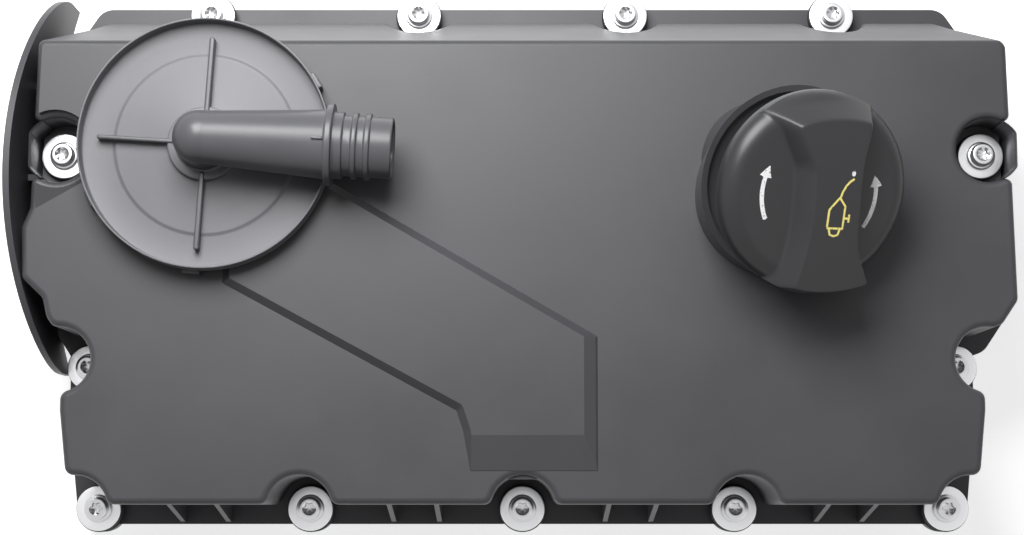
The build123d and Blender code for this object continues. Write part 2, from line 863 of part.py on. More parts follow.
# ---------------------------------------------------------------- drain valve in the bowl's floor
with BuildPart() as drain_valve:
    with BuildSketch(Plane.XY.offset(bowl_floor_z - bowl_floor_t - fit_gap)):
        with Locations(drain_at):
            Circle(drain_cap_r)
    extrude(amount=-drain_cap_t)
    with BuildSketch(Plane.XY.offset(bowl_floor_z - bowl_floor_t - fit_gap)):
        with Locations(drain_at):
            Circle(drain_r - fit_gap)
    extrude(amount=bowl_floor_t + 2 * fit_gap)
    with BuildSketch(Plane.XY.offset(bowl_floor_z + fit_gap)):
        with Locations(drain_at):
            Circle(drain_r + 0.6)
    extrude(amount=drain_cap_t)
drain_valve.part.label = "drain_valve"
export_step(drain_valve.part, "parts/drain_valve.step")


# ---------------------------------------------------------------- separator plate and its screws
with BuildPart() as separator:
    with BuildSketch(Plane.XY.offset(channel_rib_z - separator_t)):
        add(channel_face(separator_lap))
        with Locations(lid_centre):
            Circle(collar_r_out + fit_gap, mode=Mode.SUBTRACT)
        with Locations(*front_screws):
            Circle(well_r + wall + fit_gap, mode=Mode.SUBTRACT)
        with Locations((0.0, channel_outline[3][1] + separator_intake)):
            Rectangle(separator_intake * 1.6, separator_intake, mode=Mode.SUBTRACT)
        with Locations(*separator_screws):
            Circle(separator_boss_r)
            Circle(separator_screw_r + fit_gap, mode=Mode.SUBTRACT)
    extrude(amount=separator_t)
separator.part.label = "separator_plate"
export_step(separator.part, "parts/separator_plate.step")

for number, (x, y) in enumerate(separator_screws, start=1):
    with BuildPart() as plate_screw:
        with BuildSketch(Plane.XY.offset(channel_rib_z - separator_t - separator_head_t)):
            with Locations((x, y)):
                Circle(separator_head_r)
        extrude(amount=separator_head_t)
        with BuildSketch(Plane.XY.offset(channel_rib_z - separator_t)):
            with Locations((x, y)):
                Circle(separator_screw_r)
        extrude(amount=separator_t + separator_screw_l - fit_gap)
    plate_screw.part.label = f"separator_screw_{number}"
    export_step(plate_screw.part, f"parts/separator_screw_{number}.step")


# ---------------------------------------------------------------- oil filler cap
cap_foot_z = recess_floor + cap_seal_t
with BuildPart() as cap_knob:
    with BuildSketch(Plane.XZ):
        with BuildLine():
            foot = Line((0, cap_foot_z), (boss_r - boss_lip_t - cap_foot_gap, cap_foot_z))
            rise = Line(foot @ 1, (boss_r - boss_lip_t - cap_foot_gap, cap_foot_h))
            flare = Line(rise @ 1, (cap_r, cap_widest_h))
            side = Line(flare @ 1, (cap_r, cap_skirt_h))
            shoulder = RadiusArc(
                side @ 1, (cap_r - cap_shoulder, cap_top_h), -cap_shoulder * 1.1
            )
            crown = Line(shoulder @ 1, (0, cap_top_h))
            Line(crown @ 1, (0, cap_foot_z))
        make_face()
    revolve(axis=Axis.Z)
    # the grip's two sides are waisted at opposite ends, like a shallow S
    with BuildSketch(Plane.XY.offset(cap_top_h - grip_root)):
        add(grip_face((grip_root + grip_h) * math.tan(math.radians(grip_draft_deg))))
    with BuildSketch(Plane.XY.offset(cap_top_h + grip_h)):
        add(grip_face(0))
    loft()
    fillet(cap_knob.edges().group_by(Axis.Z)[-1], grip_edge_r)
cap_knob.part.location = neck_plane.location
cap_knob.part.label = "cap_knob"
export_step(cap_knob.part, "parts/cap_knob.step")

with BuildPart() as cap_plug:
    with BuildSketch(neck_plane.offset(cap_foot_z - plug_depth)):
        Circle(plug_r)
    extrude(amount=plug_depth)
    with BuildSketch(neck_plane.offset(lip_bottom - lug_gap - lug_h)):
        Circle(lug_r)
        Circle(plug_r - plug_wall, mode=Mode.SUBTRACT)
        Rectangle(lug_width, 3 * lug_r, mode=Mode.INTERSECT)
    extrude(amount=lug_h)
    with BuildSketch(neck_plane.offset(cap_foot_z - plug_depth)):
        Circle(plug_r - plug_wall)
    extrude(amount=plug_depth - plug_wall, mode=Mode.SUBTRACT)
cap_plug.part.label = "cap_plug"
export_step(cap_plug.part, "parts/cap_plug.step")

with BuildPart() as cap_seal:
    with BuildSketch(neck_plane.offset(recess_floor)):
        Circle(neck_bore_r + cap_seal_w)
        Circle(neck_bore_r, mode=Mode.SUBTRACT)
    extrude(amount=cap_seal_t)
cap_seal.part.label = "cap_seal"
export_step(cap_seal.part, "parts/cap_seal.step")
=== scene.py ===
# %% [markdown]
# # Dressing an engine valve cover
# The construction is already there: every piece at its real size, in metres, X along the
# crankshaft, Y to the rear and Z up. These cells give it surfaces, light and a camera. Pieces that
# the eye reads closely, such as the screws and the filler cap, are modelled again as smooth
# surfaces worked out with numpy, and they stand where the plain ones stood.

import json
import math

import bmesh
import bpy
import numpy as np
from mathutils import Matrix, Vector


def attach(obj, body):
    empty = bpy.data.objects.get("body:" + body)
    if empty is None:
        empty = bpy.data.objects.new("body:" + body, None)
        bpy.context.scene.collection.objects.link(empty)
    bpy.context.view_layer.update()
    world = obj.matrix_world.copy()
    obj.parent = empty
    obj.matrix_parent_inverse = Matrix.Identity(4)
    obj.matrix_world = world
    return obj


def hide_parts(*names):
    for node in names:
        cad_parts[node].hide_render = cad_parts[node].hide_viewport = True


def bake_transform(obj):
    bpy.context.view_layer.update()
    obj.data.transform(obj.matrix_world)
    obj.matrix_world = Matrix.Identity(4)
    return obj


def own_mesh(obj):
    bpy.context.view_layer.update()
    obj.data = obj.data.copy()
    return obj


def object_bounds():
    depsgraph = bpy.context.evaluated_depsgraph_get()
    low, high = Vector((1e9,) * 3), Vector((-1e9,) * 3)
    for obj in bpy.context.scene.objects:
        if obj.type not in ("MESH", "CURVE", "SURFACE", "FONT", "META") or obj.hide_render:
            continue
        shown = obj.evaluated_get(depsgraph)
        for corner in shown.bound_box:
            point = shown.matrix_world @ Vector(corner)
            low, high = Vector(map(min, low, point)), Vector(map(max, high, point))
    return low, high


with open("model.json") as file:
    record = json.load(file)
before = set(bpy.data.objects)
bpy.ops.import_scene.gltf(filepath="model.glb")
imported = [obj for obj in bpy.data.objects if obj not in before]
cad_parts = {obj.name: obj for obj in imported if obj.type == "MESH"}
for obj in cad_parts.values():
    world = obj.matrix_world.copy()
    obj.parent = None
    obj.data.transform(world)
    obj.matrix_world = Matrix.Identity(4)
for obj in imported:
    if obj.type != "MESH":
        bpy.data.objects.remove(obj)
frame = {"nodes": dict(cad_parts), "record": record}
cad_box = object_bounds()

# %% [markdown]
# Colours are written as sRGB hex, the way a paint chart gives them, and one function turns them
# into the linear values that a renderer adds up. Nodes are added by one small function too, so
# that each material reads as a list of what feeds what.

# %% Colour and node helpers
MM = 0.001


def linear(hex_colour):
    """sRGB hex to linear RGBA: each channel c is c/12.92 when dark, else ((c+0.055)/1.055)^2.4."""
    channels = [int(hex_colour[i : i + 2], 16) / 255 for i in (1, 3, 5)]
    return tuple(c / 12.92 if c <= 0.04045 else ((c + 0.055) / 1.055) ** 2.4 for c in channels) + (1,)


def add_node(tree, kind, settings=(), sockets=(), links=()):
    """Adds one node: settings are its attributes, sockets its input values, links its inputs' sources."""
    node = tree.nodes.new(kind)
    for name, value in dict(settings).items():
        setattr(node, name, value)
    for name, value in dict(sockets).items():
        node.inputs[name].default_value = value
    for name, source in dict(links).items():
        tree.links.new(source, node.inputs[name])
    return node


def new_material(name):
    """An empty node material with its Principled shader: returns (material, tree, shader, object coords)."""
    material = bpy.data.materials.new(name)
    material.use_nodes = True
    tree = material.node_tree
    shader = tree.nodes["Principled BSDF"]
    place = add_node(tree, "ShaderNodeTexCoord")
    return material, tree, shader, place.outputs["Object"]


print("mid grey in linear light", round(linear("#808080")[0], 3))


# %% [markdown]
# The body is glass-filled nylon 66, injection moulded in a spark-eroded tool. The tool leaves a
# fine even grain, so the sheen is broad and soft. Handling leaves faint paler scuffs, which are
# only a slight change of colour and roughness over a few centimetres.

# %% Grained nylon, for the cover, its lid and the inner plates
def grained_nylon(name, base_hex, pale_hex, roughness, grain_mm, grain_depth_mm):
    """Moulded nylon: base colour drifting to a paler one in soft patches, and a fine grain as bump."""
    material, tree, shader, at = new_material(name)
    patches = add_node(
        tree, "ShaderNodeTexNoise",
        sockets={"Scale": 1 / (60 * MM), "Detail": 5, "Roughness": 0.6},
        links={"Vector": at},
    )
    grain = add_node(
        tree, "ShaderNodeTexNoise",
        sockets={"Scale": 1 / (grain_mm * MM), "Detail": 2, "Roughness": 0.5},
        links={"Vector": at},
    )
    colour = add_node(tree, "ShaderNodeValToRGB", links={"Fac": patches.outputs["Fac"]})
    colour.color_ramp.elements[0].position = 0.35
    colour.color_ramp.elements[0].color = linear(base_hex)
    colour.color_ramp.elements[1].position = 0.75
    colour.color_ramp.elements[1].color = linear(pale_hex)
    tree.links.new(colour.outputs["Color"], shader.inputs["Base Color"])
    sheen = add_node(
        tree, "ShaderNodeMapRange",
        sockets={"From Min": 0.3, "From Max": 0.7, "To Min": roughness - 0.04, "To Max": roughness + 0.05},
        links={"Value": patches.outputs["Fac"]},
    )
    tree.links.new(sheen.outputs["Result"], shader.inputs["Roughness"])
    bump = add_node(
        tree, "ShaderNodeBump",
        sockets={"Strength": 0.35, "Distance": grain_depth_mm * MM},
        links={"Height": grain.outputs["Fac"]},
    )
    tree.links.new(bump.outputs["Normal"], shader.inputs["Normal"])
    shader.inputs["IOR"].default_value = 1.53
    shader.inputs["Specular IOR Level"].default_value = 0.35
    return material


cover_nylon = grained_nylon("glass_filled_nylon_cover", "#3c3c3f", "#444448", 0.45, 0.8, 0.03)
lid_nylon = grained_nylon("glass_filled_nylon_lid", "#646468", "#6e6e72", 0.46, 0.8, 0.03)
outlet_nylon = grained_nylon("glass_filled_nylon_outlet", "#4c4c50", "#56565a", 0.33, 0.8, 0.02)
inner_nylon = grained_nylon("glass_filled_nylon_inner", "#2c2c2e", "#333335", 0.55, 0.8, 0.03)
cap_nylon = grained_nylon("satin_nylon_cap", "#28282a", "#303033", 0.36, 0.5, 0.015)
print("nylon materials", 5)

# %% [markdown]
# The screws and sleeves are steel with bright zinc plating. The plating follows the turned
# surface under it, so its roughness varies a little in fine rings and clouds.

# %% Zinc-plated steel and black rubber
def zinc_plated_steel(name, hex_colour, roughness):
    """Bright zinc over steel: metallic, with clouded roughness a few millimetres across."""
    material, tree, shader, at = new_material(name)
    clouds = add_node(
        tree, "ShaderNodeTexNoise",
        sockets={"Scale": 1 / (3 * MM), "Detail": 3},
        links={"Vector": at},
    )
    spread = add_node(
        tree, "ShaderNodeMapRange",
        sockets={"To Min": roughness - 0.06, "To Max": roughness + 0.1},
        links={"Value": clouds.outputs["Fac"]},
    )
    tree.links.new(spread.outputs["Result"], shader.inputs["Roughness"])
    shader.inputs["Base Color"].default_value = linear(hex_colour)
    shader.inputs["Metallic"].default_value = 1.0
    return material


def moulded_rubber(name, hex_colour):
    """Nitrile rubber: almost black, matt, with a slight moulded unevenness."""
    material, tree, shader, at = new_material(name)
    skin = add_node(
        tree, "ShaderNodeTexNoise",
        sockets={"Scale": 1 / (1.5 * MM), "Detail": 2},
        links={"Vector": at},
    )
    bump = add_node(
        tree, "ShaderNodeBump",
        sockets={"Strength": 0.2, "Distance": 0.04 * MM},
        links={"Height": skin.outputs["Fac"]},
    )
    tree.links.new(bump.outputs["Normal"], shader.inputs["Normal"])
    shader.inputs["Base Color"].default_value = linear(hex_colour)
    shader.inputs["Roughness"].default_value = 0.62
    return material


screw_zinc = zinc_plated_steel("zinc_plated_steel_screw", "#c9c9cb", 0.3)
sleeve_zinc = zinc_plated_steel("zinc_plated_steel_sleeve", "#dcdcde", 0.34)
seal_rubber = moulded_rubber("nitrile_rubber", "#121213")
print("metal and rubber materials", 3)

# %% [markdown]
# Every plain piece gets the material of its kind first. What is modelled again below hides the
# plain piece it stands for.

# %% Give each node its material
SLOT_MATERIAL = {
    "cover_plastic": cover_nylon,
    "lid_plastic": lid_nylon,
    "cap_plastic": cap_nylon,
    "inner_plastic": inner_nylon,
    "screw_steel": screw_zinc,
    "sleeve_steel": sleeve_zinc,
    "seal_rubber": seal_rubber,
}
for entry in frame["record"]["subparts"]:
    mesh = frame["nodes"][entry["node"]].data
    mesh.materials.clear()
    mesh.materials.append(SLOT_MATERIAL[entry["material_slot"]])

# %% [markdown]
# Most small parts here are turned or moulded round an axis, so one helper carries a closed profile
# round a circle. Rows follow the profile and columns go round, all as one numpy array. The other
# helper puts any such grid into a mesh, closes its seam and merges the points at a pole.

# %% Grids to meshes
def piece_from_grid(name, grid, body, material, wrap=True, ring=False, sharp_deg=35):
    """A mesh from a grid of points in mm, rows x columns x 3.

    Each quad joins a point with its neighbours in the next column and the next row. wrap joins the
    last column to the first, and ring joins the last row to the first.
    """
    rows, cols = grid.shape[:2]
    r = np.arange(rows if ring else rows - 1)[:, None]
    c = np.arange(cols if wrap else cols - 1)[None, :]
    r2 = (r + 1) % rows
    c2 = (c + 1) % cols
    quads = np.stack([r * cols + c, r * cols + c2, r2 * cols + c2, r2 * cols + c], axis=-1)
    return piece_from_faces(name, grid.reshape(-1, 3), quads.reshape(-1, 4), body, material, sharp_deg)


def piece_from_faces(name, points, faces, body, material, sharp_deg=35):
    """A mesh from points in mm and faces; doubles are merged and normals turned outwards.

    A piece with no body is left unattached.
    """
    mesh = bpy.data.meshes.new(name)
    mesh.from_pydata((points * MM).tolist(), [], faces.tolist())
    tidy = bmesh.new()
    tidy.from_mesh(mesh)
    bmesh.ops.remove_doubles(tidy, verts=tidy.verts, dist=1e-7)
    bmesh.ops.dissolve_degenerate(tidy, edges=tidy.edges, dist=1e-7)
    bmesh.ops.recalc_face_normals(tidy, faces=tidy.faces)
    tidy.to_mesh(mesh)
    tidy.free()
    mesh.shade_smooth()
    mesh.set_sharp_from_angle(angle=math.radians(sharp_deg))
    mesh.materials.append(material)
    piece = bpy.data.objects.new(name, mesh)
    bpy.context.scene.collection.objects.link(piece)
    if body is not None:
        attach(piece, body)
    return piece


def rounded(corners, radii, steps=5):
    """A profile through the corners, each rounded by an arc of its radius, cut short by its neighbours.

    The arc starts and ends at radius / tan(half the corner's angle) from the corner, and its points
    lie between those two ends on the circle that touches both sides.
    """
    corners = np.asarray(corners, float)
    out = [corners[0]]
    for before, at, after, radius in zip(corners[:-2], corners[1:-1], corners[2:], radii[1:-1]):
        a, b = before - at, after - at
        la, lb = np.linalg.norm(a), np.linalg.norm(b)
        a, b = a / la, b / lb
        half = 0.5 * math.acos(np.clip(a @ b, -1, 1))
        if radius <= 0 or half > 1.56:
            out.append(at)
            continue
        reach = min(radius / math.tan(half), 0.49 * la, 0.49 * lb)
        radius = reach * math.tan(half)
        centre = at + (a + b) / np.linalg.norm(a + b) * radius / math.sin(half)
        start, end = at + a * reach - centre, at + b * reach - centre
        sweep = math.atan2(start[0] * end[1] - start[1] * end[0], start @ end)
        for t in np.linspace(0, sweep, steps):
            out.append(centre + np.array([
                start[0] * math.cos(t) - start[1] * math.sin(t),
                start[0] * math.sin(t) + start[1] * math.cos(t),
            ]))
    out.append(corners[-1])
    return np.array(out)


def turned(profile, centre, cols=48, swell=None):
    """A profile of (radius, height) carried round the upright line through centre = (x, y).

    x = cx + r cos a, y = cy + r sin a, z = height. swell(r, z, a) may change r as it goes round.
    """
    angle = np.linspace(0, 2 * math.pi, cols, endpoint=False)[None, :]
    radius = np.asarray(profile)[:, 0][:, None] + 0 * angle
    height = np.asarray(profile)[:, 1][:, None] + 0 * angle
    if swell is not None:
        radius, height = swell(radius, height, angle)
    return np.stack(
        [centre[0] + radius * np.cos(angle), centre[1] + radius * np.sin(angle), height], axis=-1
    )


print("points in one rounded corner", len(rounded([(0, 0), (1, 0), (1, 1)], [0, 0.3, 0])) - 2)

# %% [markdown]
# Each screw is cold-headed steel: a low collar, a round head with a six-lobed socket, and a rolled
# thread that shows below the flange. The socket is drawn by letting the radius rise and fall six
# times round the circle, and the thread by letting it follow a triangle wave that climbs one pitch
# in each turn.

# %% Captive screws
PITCH, REAR_Y = 88.0, 208.8
LOWER_SIDE, UPPER_SIDE = (181.0, 58.5), (186.3, 142.3)
LOW_STAND, HIGH_STAND = 16.0, 50.0
SCREW_STANDS = [(PITCH * i, 0.0, LOW_STAND) for i in range(-2, 3)]
SCREW_STANDS += [(PITCH * (i - 1.5), REAR_Y, LOW_STAND) for i in range(4)]
SCREW_STANDS += [(side * LOWER_SIDE[0], LOWER_SIDE[1], LOW_STAND) for side in (-1, 1)]
SCREW_STANDS += [(side * UPPER_SIDE[0], UPPER_SIDE[1], HIGH_STAND) for side in (-1, 1)]
THREAD_R, THREAD_PITCH, THREAD_DEPTH, TIP_Z = 3.0, 1.25, 0.55, -15.0
COLLAR_R, HEAD_R, HEAD_H = 5.7, 4.5, 5.5
SOCKET_R, SOCKET_FLOOR, LOBE_DEPTH = 2.55, 2.5, 0.13


def screw_profile(stand_z):
    """Radius and height from the tip's middle, up the thread, over the head, down the socket."""
    thread_z = np.arange(TIP_Z + 1.0, 3.0, THREAD_PITCH / 6)
    tip = [(0, TIP_Z), (2.0, TIP_Z), (2.6, TIP_Z + 0.7)]
    thread = [(THREAD_R, z) for z in thread_z]
    top = stand_z + HEAD_H
    head = rounded(
        [(THREAD_R, 3.2), (THREAD_R, stand_z), (COLLAR_R, stand_z), (COLLAR_R, stand_z + 1.5),
         (HEAD_R, stand_z + 1.7), (HEAD_R, top), (2.9, top), (2.6, top - 0.3), (SOCKET_R, stand_z + 3.0),
         (1.0, stand_z + 2.6), (0, stand_z + SOCKET_FLOOR)],
        [0, 0, 0.2, 0.6, 0.25, 0.9, 0.15, 0.1, 0.3, 0, 0],
    )
    return np.array(tip + thread + head.tolist())


def thread_and_socket(stand_z):
    """How a screw's radius changes as it goes round.

    The thread takes off depth * |2 f - 1|, where f is the fraction of a turn that the height is
    ahead of the angle. The socket's radius falls by depth * (1 - cos 6a) between its six lobes.
    """
    def swell(radius, height, angle):
        turn = (height / THREAD_PITCH - angle / (2 * math.pi)) % 1.0
        groove = THREAD_DEPTH * np.abs(2 * turn - 1.0)
        cut = (height > TIP_Z + 0.9) & (height < 2.9) & (radius > 2.9)
        radius = np.where(cut, radius - groove, radius)
        socket = (radius < 2.95) & (radius > 0.9) & (height > stand_z + 2.4)
        lobes = 1 - LOBE_DEPTH * (1 - np.cos(6 * angle)) * (height < stand_z + HEAD_H - 0.05)
        return np.where(socket, radius * lobes, radius), height
    return swell


for number, (x, y, stand_z) in enumerate(SCREW_STANDS, start=1):
    grid = turned(screw_profile(stand_z), (x, y), 48, thread_and_socket(stand_z))
    screw = piece_from_grid(f"screw_{number:02d}_turned", grid, "cover", screw_zinc)
    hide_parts(f"screw_{number:02d}")
print("screws", len(SCREW_STANDS), "faces each", (grid.shape[0] - 1) * grid.shape[1])

# %% [markdown]
# The sleeve is pressed from strip and rolled: a flat bright flange on a tube that stops the screw
# from crushing the rubber under it. The rubber ring bulges a little past the flange.

# %% Sleeves and grommets
SLEEVE_BORE_R, SLEEVE_R, SLEEVE_FOOT_Z = 3.3, 4.5, 1.0
FLANGE_R, FLANGE_T = 9.3, 1.5
GROMMET_BORE_R, GROMMET_R, GROMMET_T = 4.8, 9.8, 2.6
for number, (x, y, stand_z) in enumerate(SCREW_STANDS, start=1):
    low = stand_z - FLANGE_T
    sleeve = turned(
        rounded(
            [(SLEEVE_BORE_R, SLEEVE_FOOT_Z), (SLEEVE_R, SLEEVE_FOOT_Z), (SLEEVE_R, low), (FLANGE_R, low),
             (FLANGE_R, stand_z), (SLEEVE_BORE_R, stand_z), (SLEEVE_BORE_R, SLEEVE_FOOT_Z)],
            [0, 0.2, 0.5, 0.3, 0.45, 0.5, 0],
        ),
        (x, y), 64,
    )
    part = piece_from_grid(f"sleeve_{number:02d}_rolled", sleeve, "cover", sleeve_zinc)
    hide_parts(f"sleeve_{number:02d}")
    ring = turned(
        rounded(
            [(GROMMET_BORE_R, low - 0.5 * GROMMET_T), (GROMMET_BORE_R, low - GROMMET_T),
             (GROMMET_R, low - GROMMET_T), (GROMMET_R, low), (GROMMET_BORE_R, low),
             (GROMMET_BORE_R, low - 0.5 * GROMMET_T)],
            [0, 0.2, 0.9, 0.9, 0.2, 0],
        ),
        (x, y), 64,
    )
    part = piece_from_grid(f"grommet_{number:02d}_moulded", ring, "cover", seal_rubber)
    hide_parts(f"grommet_{number:02d}")
print("sleeves and grommets", 2 * len(SCREW_STANDS))

# %% [markdown]
# The breather lid is one moulding: a dished round plate with a thin rim, a spigot that goes down
# inside the collar, and an outlet that turns through a right angle. All its round parts are
# profiles carried round the lid's upright axis, and the outlet tube is a profile carried round its
# own level axis.

# %% Breather lid, plate and riser
LID_X, LID_Y = -125.6, 143.0
LID_TURN_DEG = -3.5
OUTLET_Z = 90.0


def on_lid(points):
    """Points of the lid turned by its own small turn about its upright axis."""
    c, s = math.cos(math.radians(LID_TURN_DEG)), math.sin(math.radians(LID_TURN_DEG))
    centre = np.array([LID_X, LID_Y, 0.0])
    return (points - centre) @ np.array([[c, s, 0], [-s, c, 0], [0, 0, 1]]) + centre


def quarter(centre, radius, start_deg, end_deg, steps=12):
    """Points on an arc: centre + radius (cos t, sin t) from the start angle to the end angle."""
    t = np.radians(np.linspace(start_deg, end_deg, steps))
    return [(centre[0] + radius * math.cos(a), centre[1] + radius * math.sin(a)) for a in t]


BORE_R, RISER_R, HUB_R, HUB_TOP_Z = 7.9, 10.4, 14.7, 76.5
LID_R, RIM_T, RIM_TOP_Z, LID_FACE_Z, COLLAR_Z = 50.0, 0.8, 79.0, 72.5, 70.0
SPIGOT_R, SPIGOT_BORE_R, SPIGOT_LOW_Z, GROOVE_R = 42.7, 41.1, 65.0, 41.2
MOUTH_R, MOUTH_Z = 9.5, 64.3
DISH_STEP = 0.6


def lid_profile():
    """Radius and height: down the bore, round the mouth and spigot, over the rim, in to the hub."""
    under = [
        (BORE_R, MOUTH_Z), (MOUTH_R, MOUTH_Z), (MOUTH_R, COLLAR_Z), (SPIGOT_BORE_R, COLLAR_Z),
        (SPIGOT_BORE_R, SPIGOT_LOW_Z), (SPIGOT_R, SPIGOT_LOW_Z), (SPIGOT_R, 66.6), (GROOVE_R, 66.6),
        (GROOVE_R, 68.4), (SPIGOT_R, 68.4), (SPIGOT_R, COLLAR_Z),
    ]
    dish_z = LID_FACE_Z + DISH_STEP
    over = [
        (LID_R, COLLAR_Z), (LID_R, RIM_TOP_Z), (LID_R - RIM_T, RIM_TOP_Z), (LID_R - RIM_T, LID_FACE_Z),
        (36.6, LID_FACE_Z), (35.4, dish_z), (HUB_R, dish_z), (HUB_R, HUB_TOP_Z),
        (RISER_R - 0.5, HUB_TOP_Z), (BORE_R, HUB_TOP_Z),
    ]
    radii = [0] + [0.3] * 10 + [0.5, 0.3, 0.3, 0.8, 1.5, 1.5, 0.5, 0.7, 0, 0]
    return rounded([(BORE_R, HUB_TOP_Z)] + under + over, [0] + radii, 4)


def riser_profile():
    """Radius and height: down the inside of the riser's dome and bore, out, and up to the outer dome."""
    inside = quarter((0, OUTLET_Z), BORE_R, 90, 0)
    foot = [
        (BORE_R, HUB_TOP_Z), (RISER_R + 1.2, HUB_TOP_Z), (RISER_R + 0.4, HUB_TOP_Z + 0.4),
        (RISER_R, HUB_TOP_Z + 1.2),
    ]
    outside = quarter((0, OUTLET_Z), RISER_R, 0, 90)
    return np.array(inside + foot + outside)


lid_plate = piece_from_grid(
    "lid_plate", turned(lid_profile(), (LID_X, LID_Y), 160), "cover", lid_nylon
)
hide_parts("breather_lid")
riser = piece_from_grid(
    "lid_riser", turned(riser_profile(), (LID_X, LID_Y), 96), "cover", outlet_nylon
)
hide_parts("breather_lid")
print("lid profile points", len(lid_profile()) + len(riser_profile()))

# %% [markdown]
# Under the lid a rubber membrane and a light spring set the pressure in the crankcase. The
# membrane is held at its edge and lifts in the middle, so it is made as two parts that meet at the
# foot of its fold. The outer part stays with the cover, and the inner one is left without a body.
# The spring goes with the membrane set.

# %% Membrane and spring
MEMBRANE_LOW, MEMBRANE_TOP = 58.0, 58.9
MEMBRANE_R, FOLD_AT, FOLD_R = 34.0, 25.5, 3.2
SPRING_R, WIRE_R, SPRING_LOW, SPRING_TOP = 13.5, 0.6, 60.6, 69.3
SPRING_TURNS, PLATE_TRAVEL = 2, 3.0


def membrane_profiles():
    """The held part's and the moving part's profiles, both from the foot of the fold.

    The fold is a half circle under the membrane, as thick as the membrane, round (FOLD_AT, middle).
    """
    half = (MEMBRANE_TOP - MEMBRANE_LOW) / 2
    middle = MEMBRANE_LOW + half
    rise = math.degrees(math.asin(half / (FOLD_R + half)))
    centre = (FOLD_AT, middle)
    held = quarter(centre, FOLD_R - half, -90, 0)
    held += [
        (FOLD_AT + FOLD_R - half, MEMBRANE_TOP), (MEMBRANE_R, MEMBRANE_TOP), (MEMBRANE_R, MEMBRANE_LOW),
    ]
    held += quarter(centre, FOLD_R + half, -rise, -90)
    moving = [(0, MEMBRANE_LOW)] + quarter(centre, FOLD_R + half, rise - 180, -90)
    moving += quarter(centre, FOLD_R - half, -90, -180)
    moving += [(FOLD_AT - FOLD_R + half, MEMBRANE_TOP), (0, MEMBRANE_TOP)]
    return np.array(held), np.array(moving)


def coil_spring(steps=180, around=12):
    """Round wire along a helix: x = r cos t, y = r sin t, height even in t, closed at both ends.

    At each step the wire's circle is spanned by the outward direction and by the one that is square
    to it and to the helix, and its radius is nought at the first and last row.
    """
    t = np.linspace(0, SPRING_TURNS * 2 * math.pi, steps)
    climb = (SPRING_TOP - SPRING_LOW) / (SPRING_TURNS * 2 * math.pi)
    outward = np.stack([np.cos(t), np.sin(t), 0 * t], axis=-1)
    along = np.stack([-SPRING_R * np.sin(t), SPRING_R * np.cos(t), climb + 0 * t], axis=-1)
    along /= np.linalg.norm(along, axis=-1, keepdims=True)
    upward = np.cross(along, outward)
    line = SPRING_R * outward + np.stack([LID_X + 0 * t, LID_Y + 0 * t, SPRING_LOW + climb * t], axis=-1)
    rows = np.r_[0, np.arange(steps), steps - 1]
    wire = np.full(steps + 2, WIRE_R)
    wire[[0, -1]] = 0
    u = np.linspace(0, 2 * math.pi, around, endpoint=False)[None, :, None]
    circle = outward[rows, None] * np.cos(u) + upward[rows, None] * np.sin(u)
    return line[rows, None] + wire[:, None, None] * circle


held, moving = membrane_profiles()
edge = piece_from_grid(
    "membrane_held_edge", turned(held, (LID_X, LID_Y), 96), "cover", seal_rubber, ring=True
)
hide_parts("membrane")
disc = piece_from_grid(
    "membrane_moving_disc", turned(moving, (LID_X, LID_Y), 96), None, seal_rubber
)
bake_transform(disc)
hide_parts("membrane")
spring = piece_from_grid("breather_spring_coil", coil_spring(), "membrane_set", screw_zinc)
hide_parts("breather_spring")
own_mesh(spring)

# %% [markdown]
# The outlet widens from the riser to a stop collar. Past the collar the stub has three low bands
# that grip the hose, and its mouth is rounded inside and out. The bands are low, so their edges
# are rounded almost to half circles.

# %% Outlet tube and hose stub
def along_x(profile, cols=96):
    """A profile of (distance, radius) carried round the outlet's axis.

    x = lid's middle + distance, y = lid's middle + r cos a, z = axis height + r sin a.
    """
    angle = np.linspace(0, 2 * math.pi, cols, endpoint=False)[None, :]
    far = np.asarray(profile)[:, 0][:, None] + 0 * angle
    radius = np.asarray(profile)[:, 1][:, None]
    return np.stack(
        [LID_X + far, LID_Y + radius * np.cos(angle), OUTLET_Z + radius * np.sin(angle)], axis=-1
    )


OUTLET_START, STOP_AT, STOP_T, STOP_R = 2.0, 49.6, 2.7, 16.0
NARROW_R, WIDE_R, OUTLET_BORE_R = 10.33, 13.5, 7.96
STUB_L, STUB_R, BAND_R, STUB_BORE_R = 23.0, 11.9, 13.0, 10.3
STUB_BANDS = [(0.0, 4.0), (7.4, 9.4), (12.4, 14.5)]


def outlet_profile():
    """Along the outside from the riser to the mouth, then back along the bore."""
    stub = STOP_AT + STOP_T
    end = stub + STUB_L
    corners = [(OUTLET_START, NARROW_R), (STOP_AT, WIDE_R), (STOP_AT, STOP_R), (stub, STOP_R), (stub, BAND_R)]
    radii = [0, 0.8, 0.6, 0.6, 0.3]
    for near, far in STUB_BANDS:
        corners += [(stub + near, STUB_R), (stub + near, BAND_R)] if near else []
        corners += [(stub + far, BAND_R), (stub + far, STUB_R)]
        radii += [0.5, 0.7] if near else []
        radii += [0.7, 0.5]
    corners += [(end, STUB_R), (end, STUB_BORE_R), (OUTLET_START, OUTLET_BORE_R), (OUTLET_START, NARROW_R)]
    radii += [0.8, 0.8, 0, 0]
    return rounded(corners, radii, 5)


lid_outlet = piece_from_grid(
    "lid_outlet", on_lid(along_x(outlet_profile())), "cover", outlet_nylon
)
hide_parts("breather_lid")
print("outlet points", len(outlet_profile()))

# %% [markdown]
# Ribs, tabs and marks are small raised pads. Seen from above each is a slot shape or a rounded
# rectangle, and its top edge is rounded. One helper makes them all: it draws the outline, shrinks
# it a little at each level as it climbs the rounded edge, and closes it in the middle.

